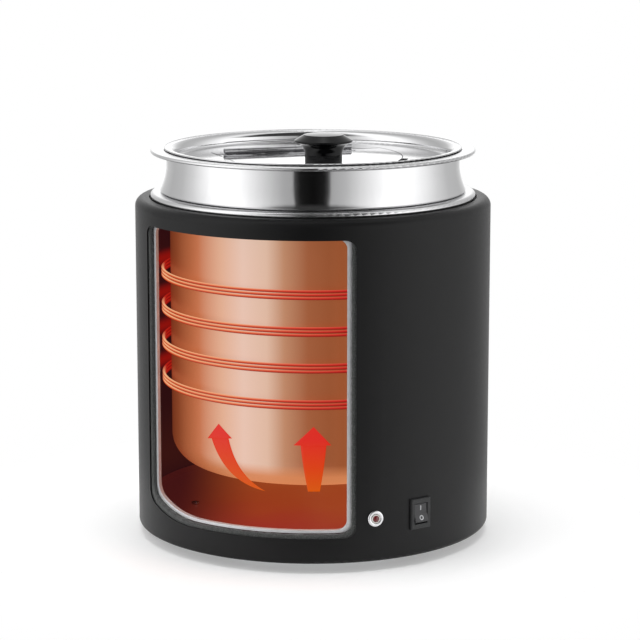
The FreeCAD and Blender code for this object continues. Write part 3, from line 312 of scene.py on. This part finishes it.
def painted_heater_glow(graph, far, near, reach):
    """A painted glow: a colour that goes from near to far with the height above or below the closest heater."""
    levels = heater_levels()
    pitch = levels[1] - levels[0]
    lowest = levels[0] - pitch / 2
    highest = levels[-1] + pitch / 2
    fade = 4 * MM
    height = graph.height()
    turn = graph.math("FRACT", graph.math("MULTIPLY_ADD", height, 1 / pitch, -lowest / pitch))
    away = graph.math("MULTIPLY", graph.math("ABSOLUTE", graph.math("SUBTRACT", turn, 0.5)), pitch)
    close = graph.span(away, 0.0, reach, 1.0, 0.0, smooth=True)
    above_lowest = graph.span(height, lowest, lowest + fade, 0.0, 1.0)
    below_highest = graph.span(height, highest - fade, highest, 1.0, 0.0)
    close = graph.math("MULTIPLY", close, graph.math("MULTIPLY", above_lowest, below_highest))
    return graph.mix(close, far, near)


def silver_trim():
    """Satin silver edging."""
    return dress("satin_silver", mottled(shade(226, 226, 228), 0.05, 200.0), 0.32, 0.25,
                 normal=drawn(400, 400, 400, 0.000006))


def grey_felt():
    """Pressed wool, dark grey with lighter and darker fibres."""
    def colour(graph):
        fibres = graph.noise(900.0, 6.0, roughness=0.7)
        return graph.ramp(fibres, [(0.25, shade(30, 31, 31)), (0.5, shade(62, 64, 63)),
                                   (0.75, shade(104, 107, 106))])

    return dress("pressed_wool", colour, 0.95, normal=grained(1300.0, 0.0005), Sheen_Weight=0.35,
                 Sheen_Roughness=0.6)


def rubber_black():
    return dress("black_rubber", mottled(shade(26, 25, 24), 0.2, 200.0), rough_between(0.62, 0.8, 300.0),
                 normal=grained(1500.0, 0.00008))


def plated_steel():
    return dress("zinc_plated", mottled(shade(190, 191, 194), 0.05, 500.0),
                 rough_between(0.22, 0.34, 600.0), 1.0, normal=grained(800.0, 0.00001))


def brass_parts():
    return dress("plain_brass", mottled(shade(205, 170, 96), 0.08, 300.0),
                 rough_between(0.24, 0.38, 500.0), 1.0, normal=grained(800.0, 0.00001))


def copper_glow():
    """The pan: its wall in heat light, painted on as emission over a copper base colour that stands for the red
    light: a painted highlight pale in the middle, painted shade brown to the sides and a painted orange glow on
    its lower corner; its rim and inside bright steel."""
    low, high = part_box("water_pan")
    corner_ends = low.z + 24 * MM
    heat_ends = high.z - 16 * MM

    def painted_heat_light(graph):
        azimuth = graph.azimuth()
        # painted reflection: a pale highlight of the soft box from about -38 to -18 degrees, painted shade brown
        # to the sides
        wall = graph.ramp(azimuth, [
            (-110.0, shade(60, 22, 16)), (-88.0, shade(100, 40, 20)), (-70.0, shade(140, 70, 40)),
            (-51.0, shade(186, 110, 70)), (-38.0, shade(218, 178, 150)), (-28.0, shade(228, 204, 188)),
            (-18.0, shade(222, 194, 172)), (-11.0, shade(186, 140, 108)), (-2.0, shade(156, 94, 60)),
            (6.0, shade(148, 84, 48)), (12.0, shade(156, 88, 50)), (20.0, shade(170, 108, 78)),
            (60.0, shade(120, 60, 36)), (110.0, shade(60, 22, 16)),
        ])
        # painted orange glow on the lower corner
        corner = graph.ramp(graph.height(), [(low.z, (1, 1, 1)), (low.z + 12 * MM, (0.9, 0.9, 0.9)),
                                             (corner_ends, (0.0, 0.0, 0.0))])
        painted_corner_glow = graph.mix(graph.span(azimuth, -75.0, -25.0, 0.0, 1.0, smooth=True),
                         shade(150, 70, 40), shade(220, 142, 92))
        return graph.mix(corner, wall, painted_corner_glow)

    def collar(heated, bright):
        """One value on the outside in heat light, another on the bright inside and rim."""
        def build(graph):
            rim = graph.span(graph.height(), heat_ends, heat_ends + 2 * MM, 0.0, 1.0)
            inside = graph.span(graph.facing_out(), -0.05, 0.05, 1.0, 0.0)
            return graph.span(graph.math("MAXIMUM", rim, inside), 0.0, 1.0, heated, bright)
        return build

    def base(graph):
        # the copper base colour of the heated wall is painted red light; the inside and rim are steel
        return graph.mix(collar(0.0, 1.0)(graph), shade(120, 62, 40), shade(224, 224, 225))

    def light(graph):
        # the painted heat light, given as emission on the wall only
        return graph.mix(collar(0.0, 1.0)(graph), painted_heat_light(graph), (0.0, 0.0, 0.0, 1.0))

    return dress("pan_in_heat_light", base, collar(0.36, 0.24), collar(0.35, 1.0),
                 normal=turned_lines(0.000002), emission=light, glow=0.82, IOR=1.3)


def glowing_wire():
    """Sheathed element at red heat, glowing, with a painted highlight pale along its top, painted shade deep red
    underneath, and painted light brighter on its side towards the front left.
    """
    def colour(graph):
        azimuth = graph.azimuth()
        # painted light round the coil: brightest from -78 to -30 degrees, deep red towards the back
        body = graph.ramp(azimuth, [(-120.0, shade(120, 12, 10)), (-95.0, shade(150, 16, 12)),
                                    (-78.0, shade(224, 92, 48)), (-30.0, shade(224, 84, 44)),
                                    (-8.0, shade(206, 54, 36)), (14.0, shade(190, 32, 28)),
                                    (60.0, shade(150, 18, 14)), (120.0, shade(120, 12, 10))])
        light = graph.ramp(azimuth, [(-120.0, shade(150, 20, 14)), (-95.0, shade(190, 34, 22)),
                                     (-78.0, shade(255, 190, 140)), (-30.0, shade(250, 170, 124)),
                                     (-8.0, shade(240, 110, 84)), (14.0, shade(214, 60, 50)),
                                     (60.0, shade(170, 30, 24)), (120.0, shade(150, 20, 14))])
        # painted shade underneath and a painted highlight along the top, by how the surface faces up
        upward = graph.split(graph.normal())[2]
        body = graph.mix(graph.span(upward, -0.7, 0.0, 1.0, 0.0), body, shade(128, 14, 12))
        return graph.mix(graph.span(upward, 0.25, 0.75, 0.0, 1.0), body, light)

    return dress("element_red_heat_painted_highlight", shade(60, 12, 8), rough_between(0.3, 0.45, 700.0),
                 normal=grained(1200.0, 0.00002), emission=colour, glow=0.85, IOR=1.25)


def ceramic_white():
    return dress("steatite", mottled(shade(222, 216, 204), 0.05, 300.0), rough_between(0.5, 0.62, 400.0),
                 normal=grained(1200.0, 0.00003))


def sensor_metal():
    return dress("drawn_cup", shade(198, 198, 200), rough_between(0.25, 0.4, 500.0), 1.0,
                 normal=drawn(200, 200, 2500, 0.00001))


def white_plastic():
    return dress("white_moulding", mottled(shade(232, 230, 224), 0.03, 200.0),
                 rough_between(0.32, 0.4, 700.0), normal=grained(1500.0, 0.00001))


def lead_insulation():
    """Braided glass fibre sleeving."""
    def braid(graph):
        wave = graph.add("TexWave", wave_type="BANDS", bands_direction="DIAGONAL")
        graph.feed(wave.inputs["Vector"], graph.place())
        wave.inputs["Scale"].default_value = 420.0
        return graph.bump(wave.outputs["Fac"], 0.0002)

    return dress("glass_fibre_braid", mottled(shade(212, 206, 194), 0.1, 900.0), 0.8, normal=braid)


def black_plastic():
    return dress("textured_black_moulding", mottled(shade(40, 41, 42), 0.08, 300.0),
                 rough_between(0.42, 0.52, 900.0), normal=grained(3500.0, 0.00004), IOR=1.45)


def rocker_plastic():
    return dress("rocker_moulding", mottled(shade(62, 62, 64), 0.06, 300.0), rough_between(0.36, 0.44, 900.0),
                 normal=grained(4000.0, 0.00002), IOR=1.45)


def chrome_bezel():
    return dress("bright_chrome", shade(232, 232, 234), rough_between(0.05, 0.09, 600.0), 1.0,
                 normal=grained(500.0, 0.000004))


def red_lens():
    return dress("clear_red_lens", shade(96, 4, 10), rough_between(0.12, 0.2, 500.0),
                 normal=grained(700.0, 0.00002), Coat_Weight=0.6, Coat_Roughness=0.05,
                 emission=shade(60, 2, 6), glow=0.4)


def softer_past(low, high, measure, edge):
    """Polish between low and high, and a little duller where the measure is past a rim's edge."""
    duller = 0.13

    def build(graph):
        rolled = graph.span(measure(graph), edge, edge + 0.5 * MM, 0.0, duller)
        return graph.math("ADD", rough_between(low, high, 180.0)(graph), rolled)
    return build


def polished_steel(name, roughness):
    return dress(name, mottled(shade(222, 222, 223), 0.015, 25.0), roughness, 1.0,
                 normal=turned_lines(0.0000012))


def polished_pot():
    rolled_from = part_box("soup_pot")[1].z - 5 * MM
    return polished_steel("mirror_steel_pot", softer_past(0.06, 0.09, Graph.height, rolled_from))


def polished_lid():
    rolled_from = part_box("lid_plate")[1].x - 4 * MM
    return polished_steel("mirror_steel_lid", softer_past(0.08, 0.11, Graph.radius, rolled_from))


def polished_flap():
    return dress("mirror_steel_flap", mottled(shade(226, 226, 227), 0.015, 25.0),
                 rough_between(0.05, 0.08, 180.0), 1.0, normal=drawn(30, 2400, 30, 0.000002))


def shaded_ledge():
    """The ledge under the flap's edge, dark so that the slit round the flap reads as a dark line."""
    return dress("shaded_ledge", mottled(shade(60, 60, 62), 0.1, 200.0), 0.35, 1.0,
                 normal=drawn(30, 2400, 30, 0.000002))


def hinge_steel():
    return dress("drawn_steel", mottled(shade(186, 186, 188), 0.05, 300.0),
                 rough_between(0.14, 0.2, 500.0), 1.0, normal=grained(300.0, 0.000002))


def knob_plastic():
    return dress("polished_phenolic", mottled(shade(5, 5, 6), 0.2, 120.0), rough_between(0.1, 0.15, 300.0),
                 normal=grained(900.0, 0.000006), IOR=1.3)


def print_white():
    return dress("printed_white", mottled(shade(196, 198, 200), 0.05, 900.0), 0.5,
                 normal=grained(3000.0, 0.00002))


def arrow_print():
    """Arrow plates, printed red at their tips and orange at their tails, the print made to glow as painted light
    by emission.
    """
    def colour(graph):
        return graph.ramp(graph.height(), [(68 * MM, shade(224, 92, 0)), (92 * MM, shade(228, 66, 12)),
                                           (118 * MM, shade(230, 44, 34))])

    # the print colour is given as emission, a painted glow, over a dark base
    return dress("arrow_enamel_painted_glow", shade(60, 12, 6), 0.5, normal=grained(1500.0, 0.00002), emission=colour,
                 glow=0.86, IOR=1.3)


finishes = {maker.__name__: maker() for maker in (
    black_coat, zinc_steel, heated_floor, sleeve_steel, silver_trim, grey_felt, rubber_black, plated_steel,
    brass_parts, copper_glow, glowing_wire, ceramic_white, sensor_metal, white_plastic, lead_insulation,
    black_plastic, rocker_plastic, chrome_bezel, red_lens, polished_pot, polished_lid, polished_flap,
    hinge_steel, knob_plastic, shaded_ledge, print_white, arrow_print,
)}


def dress_cad_nodes():
    """Each CAD node gets the finish that its record slot names, and the flap's ledge a darker one."""
    slots = {subpart["node"]: subpart["material_slot"] for subpart in record["subparts"]}
    slots["flap_ledge"] = "shaded_ledge"
    for node, slot in slots.items():
        piece = nodes[node]
        if not piece.material_slots:
            piece.data.materials.append(None)
        for place in piece.material_slots:
            place.material = finishes[slot]


# ---------------------------------------------------------------- pieces made here

def new_piece(name, mesh, material, body):
    """A shown object that moves with a body, with the finish it is given."""
    piece = bpy.data.objects.new(name, mesh)
    scene.collection.objects.link(piece)
    mesh.materials.clear()
    mesh.materials.append(material)
    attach(piece, body)
    return piece


def smooth(mesh, angle=35.0):
    """Soft shading, with edges sharper than the angle left crisp."""
    for face in mesh.polygons:
        face.use_smooth = True
    mesh.set_sharp_from_angle(angle=math.radians(angle))


def on_wall(azimuth, radius, height):
    """A place on an upright cylinder round the kettle's axis."""
    angle = math.radians(azimuth)
    return Vector((radius * math.sin(angle), -radius * math.cos(angle), height))


def wool_jacket():
    """The felt jacket, with rounded edges and a matted, uneven surface of tufts."""
    face_size = 2.2 * MM
    wide_tufts, fine_tufts = 260.0, 900.0
    wide_share, fine_share = 0.6, 0.9
    depth = 0.35 * MM
    block = bpy.data.objects.new("wool_block", nodes["insulation_felt"].data.copy())
    scene.collection.objects.link(block)
    grid = block.modifiers.new("even_faces", "REMESH")
    grid.mode = "VOXEL"
    grid.voxel_size = face_size
    mesh = bpy.data.meshes.new_from_object(block.evaluated_get(bpy.context.evaluated_depsgraph_get()))
    bpy.data.objects.remove(block)
    count = len(mesh.vertices)
    normals = np.zeros(count * 3, np.float32)
    mesh.vertex_normals.foreach_get("vector", normals)
    places = np.zeros(count * 3, np.float32)
    mesh.vertices.foreach_get("co", places)
    tufts = [noise.noise(spot * wide_tufts) * wide_share + noise.noise(spot * fine_tufts) * fine_share
             for spot in map(Vector, places.reshape(-1, 3))]
    places += normals * np.repeat(np.array(tufts, np.float32), 3) * depth
    mesh.vertices.foreach_set("co", places)
    mesh.update()
    smooth(mesh, 180.0)
    jacket = new_piece("wool_jacket", mesh, finishes["grey_felt"], "root")
    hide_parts("insulation_felt")


def rocker_frame():
    """The rocker's own frame at rest, where it is tilted to on: its pivot, X along the pins, Y
    inwards and Z up."""
    joint = next(joint for joint in frame["joints"] if joint["name"] == "rocker_tilt")
    along = Vector(joint["axis"]).normalized()
    up = Vector((0, 0, 1))
    inward = up.cross(along)
    turn = Matrix((along, inward, up)).transposed().to_4x4()
    rest_tilt = math.radians(-10.0)
    tilt = Matrix.Rotation(rest_tilt, 4, "X")
    return Matrix.Translation(Vector(joint["pos_m"])) @ turn @ tilt


def face_frame(height):
    """A frame on the rocker's face, whose upper and lower halves lean forward from its waist."""
    waist, edge, half = -3.5 * MM, -4.8 * MM, 8.2 * MM
    lean = math.atan2(edge - waist, half)
    share = abs(height) / half
    spot = Vector((0, waist + (edge - waist) * share, height))
    facing = Matrix.Rotation(-lean if height > 0 else lean, 4, "X")
    return rocker_frame() @ Matrix.Translation(spot) @ facing


def ridge(name, outline, hole, place, proud=0.12 * MM, sunk=0.25 * MM):
    """A raised mark with the outline, in the XZ plane of the given frame; a hole may be left in it.
    A hole has as many points as the outline."""
    count = len(outline)
    front, back, hole_front, hole_back = 0, count, 2 * count, 3 * count
    loops = [(outline, -proud), (outline, sunk)]
    if hole:
        loops += [(hole, -proud), (hole, sunk)]
    points = [place @ Vector((x, depth, z)) for loop, depth in loops for x, z in loop]

    def band(first, second):
        """Faces between two loops, given where their points start."""
        turns = [(step, (step + 1) % count) for step in range(count)]
        return [(first + step, first + after, second + after, second + step) for step, after in turns]

    faces = band(back, front)
    if hole:
        faces += band(front, hole_front) + band(hole_back, back) + band(hole_front, hole_back)
    else:
        faces += [range(front, back), reversed(range(back, 2 * count))]
    mesh = bpy.data.meshes.new(name)
    mesh.from_pydata(points, [], [tuple(face) for face in faces])
    smooth(mesh)
    new_piece(name, mesh, finishes["print_white"], "rocker")


def circle(radius, count=40):
    turns = [math.tau * step / count for step in range(count)]
    return [(radius * math.cos(turn), radius * math.sin(turn)) for turn in turns]


def slotted(half_width, half_height, count=10):
    """A bar with round ends; half_height is half of its straight part."""
    points = []
    for step in range(count + 1):
        turn = math.pi * step / count
        points.append((half_width * math.cos(turn), half_height + half_width * math.sin(turn)))
    for step in range(count + 1):
        turn = math.pi + math.pi * step / count
        points.append((half_width * math.cos(turn), -half_height + half_width * math.sin(turn)))
    return points


def rocker_marks():
    """The bar for on and the ring for off."""
    ridge("rocker_mark_on", slotted(0.55 * MM, 1.7 * MM), None, face_frame(4.7 * MM))
    ridge("rocker_mark_off", circle(2.3 * MM), circle(1.3 * MM), face_frame(-4.6 * MM))


def between(first, second, share):
    """The point at a share of the way from the first to the second."""
    return tuple(a + (b - a) * share for a, b in zip(first, second))


def bow(start, pull, end, share):
    """A point on the curve that leaves start towards pull and comes into end from it."""
    return between(between(start, pull, share), between(pull, end, share), share)


def arrow_plate(name, left_edge, right_edge, head_left, tip, head_right, steps=24, across=10):
    """A thin arrow that follows the pan's wall: a shaft between two edges, then a head.
    Its points are an azimuth in degrees and a height in millimetres."""
    radius = PAN_RADIUS + 0.45 * MM
    thick = 0.3 * MM

    def row(first, last):
        return [between(first, last, part / across) for part in range(across + 1)]

    shares = [step / steps for step in range(steps + 1)]
    shaft = [row(left_edge(share), right_edge(share)) for share in shares]
    head = [row(between(head_left, tip, share), between(head_right, tip, share)) for share in shares]
    shape = bmesh.new()
    for grid in (shaft, head):
        points = [[shape.verts.new(on_wall(azimuth, radius, height * MM)) for azimuth, height in line]
                  for line in grid]
        for low, high in zip(points, points[1:]):
            for part in range(across):
                shape.faces.new((low[part], low[part + 1], high[part + 1], high[part]))
    bmesh.ops.remove_doubles(shape, verts=shape.verts[:], dist=0.01 * MM)
    bmesh.ops.recalc_face_normals(shape, faces=shape.faces[:])
    mesh = bpy.data.meshes.new(name)
    shape.to_mesh(mesh)
    shape.free()
    smooth(mesh)
    plate = new_piece(name, mesh, finishes["arrow_print"], "root")
    body = plate.modifiers.new("thickness", "SOLIDIFY")
    body.thickness = thick
    body.offset = 1.0


def arrows():
    """Two arrow plates that show how the heat rises, close in front of the pan's wall."""
    arrow_plate(
        "heat_arrow_left",
        lambda share: bow((-18.8, 68.0), (-36.5, 74.0), (-43.6, 111.5), share),
        lambda share: bow((-18.8, 68.0), (-31.2, 81.0), (-34.8, 113.7), share),
        (-45.8, 109.9), (-39.7, 126.1), (-33.2, 114.3))
    arrow_plate(
        "heat_arrow_middle",
        lambda share: bow((-2.0, 69.4), (-3.9, 92.0), (-4.8, 112.9), share),
        lambda share: bow((2.6, 69.4), (4.3, 92.0), (5.1, 112.9), share),
        (-7.5, 112.9), (0.2, 130.5), (7.0, 112.9))


# ---------------------------------------------------------------- studio

def studio():
    """Two tall soft boxes beside the kettle with a dark gap at the front, dark above them at the front,
    a lamp overhead that only matt surfaces take up, and white all round for the camera."""
    world = bpy.data.worlds.new("studio")
    world.use_nodes = True
    scene.world = world
    graph = Graph(world.node_tree)
    x, y, z = graph.split(graph.add("TexCoord").outputs["Generated"])
    azimuth = graph.turn_of(x, y)
    brightness = [
        (-180, 1.0), (-156, 0.62), (-137, 0.55), (-120, 0.6), (-106, 0.72), (-94, 0.88), (-84, 1.0),
        (-59, 1.0), (-50, 0.88), (-40, 0.75), (-30, 0.62), (-22, 0.52), (-15.5, 0.5),
        (-14.5, 0.16), (-10, 0.05), (0, 0.03), (9, 0.05), (12.5, 0.16),
        (13.5, 0.5), (25, 0.58), (37, 0.75), (50, 0.9), (58, 1.0),
        (82, 1.0), (98, 0.86), (111, 0.72), (126, 0.6), (147, 0.56), (160, 0.64), (180, 1.0),
    ]
    gain, contrast, level = 1.42, 1.6, 0.82
    around = graph.ramp(azimuth, [(at, grey((value * gain) ** contrast * level))
                                  for at, value in brightness])
    dark_middle = 18.0
    from_middle = graph.math("ABSOLUTE", graph.math("SUBTRACT", azimuth, dark_middle))
    front = graph.span(from_middle, 50.0, 75.0, 1.0, 0.0)
    box_tops = graph.span(z, 0.56, 0.6, 0.0, 1.0)
    above_boxes = graph.math("MULTIPLY", front, box_tops)
    overhead = graph.span(z, 0.94, 0.98, 0.0, 1.0, smooth=True)
    under = graph.span(z, -0.5, -0.35, 1.0, 0.0)
    rays = graph.add("LightPath").outputs
    matt = graph.math("SUBTRACT", 1.0, rays["Is Glossy Ray"])
    light = graph.mix(above_boxes, around, grey(0.05))
    light = graph.mix(graph.math("MULTIPLY", overhead, matt), light, grey(5.0))
    light = graph.mix(under, light, graph.mix(0.6, around, grey(0.1)))
    light = graph.mix(rays["Is Camera Ray"], light, grey(1.0))
    background = graph.add("Background")
    graph.feed(background.inputs[0], light)
    output = graph.add("OutputWorld")
    graph.feed(output.inputs[0], background.outputs[0])


def floor():
    """A pale round floor that fades into the background past the kettle."""
    reach, edges = 1.3, 96
    fade_from, fade_to = 0.17, 0.42
    mesh = bpy.data.meshes.new("studio_floor")
    shape = bmesh.new()
    bmesh.ops.create_circle(shape, cap_ends=True, segments=edges, radius=reach)
    shape.to_mesh(mesh)
    shape.free()
    disc = bpy.data.objects.new("studio_floor", mesh)
    scene.collection.objects.link(disc)
    material, graph, shader = finish("pale_floor")
    shader.inputs["Base Color"].default_value = grey(0.93)
    shader.inputs["Roughness"].default_value = 0.8
    shader.inputs["Specular IOR Level"].default_value = 0.1
    shader.inputs["Emission Color"].default_value = grey(1.0)
    shader.inputs["Emission Strength"].default_value = 0.22
    cover = graph.span(graph.radius(), fade_from, fade_to, 0.9, 0.0, smooth=True)
    graph.feed(shader.inputs["Alpha"], cover)
    mesh.materials.append(material)


def camera():
    """A long lens in front of the kettle, a little above it and pointed down at it."""
    distance, rise = 2.312, 0.646
    down, aside = math.radians(10.82), math.radians(-0.167)
    lens = bpy.data.cameras.new("camera")
    lens.lens = 136.9
    lens.sensor_width = 36.0
    lens.clip_start = 0.05
    eye = bpy.data.objects.new("camera", lens)
    eye.location = (0.0, -distance, rise)
    eye.rotation_euler = (math.pi / 2 - down, 0.0, aside)
    scene.collection.objects.link(eye)
    scene.camera = eye


dress_cad_nodes()
wool_jacket()
rocker_marks()
arrows()
studio()
floor()
camera()
scene.view_settings.view_transform = "Standard"
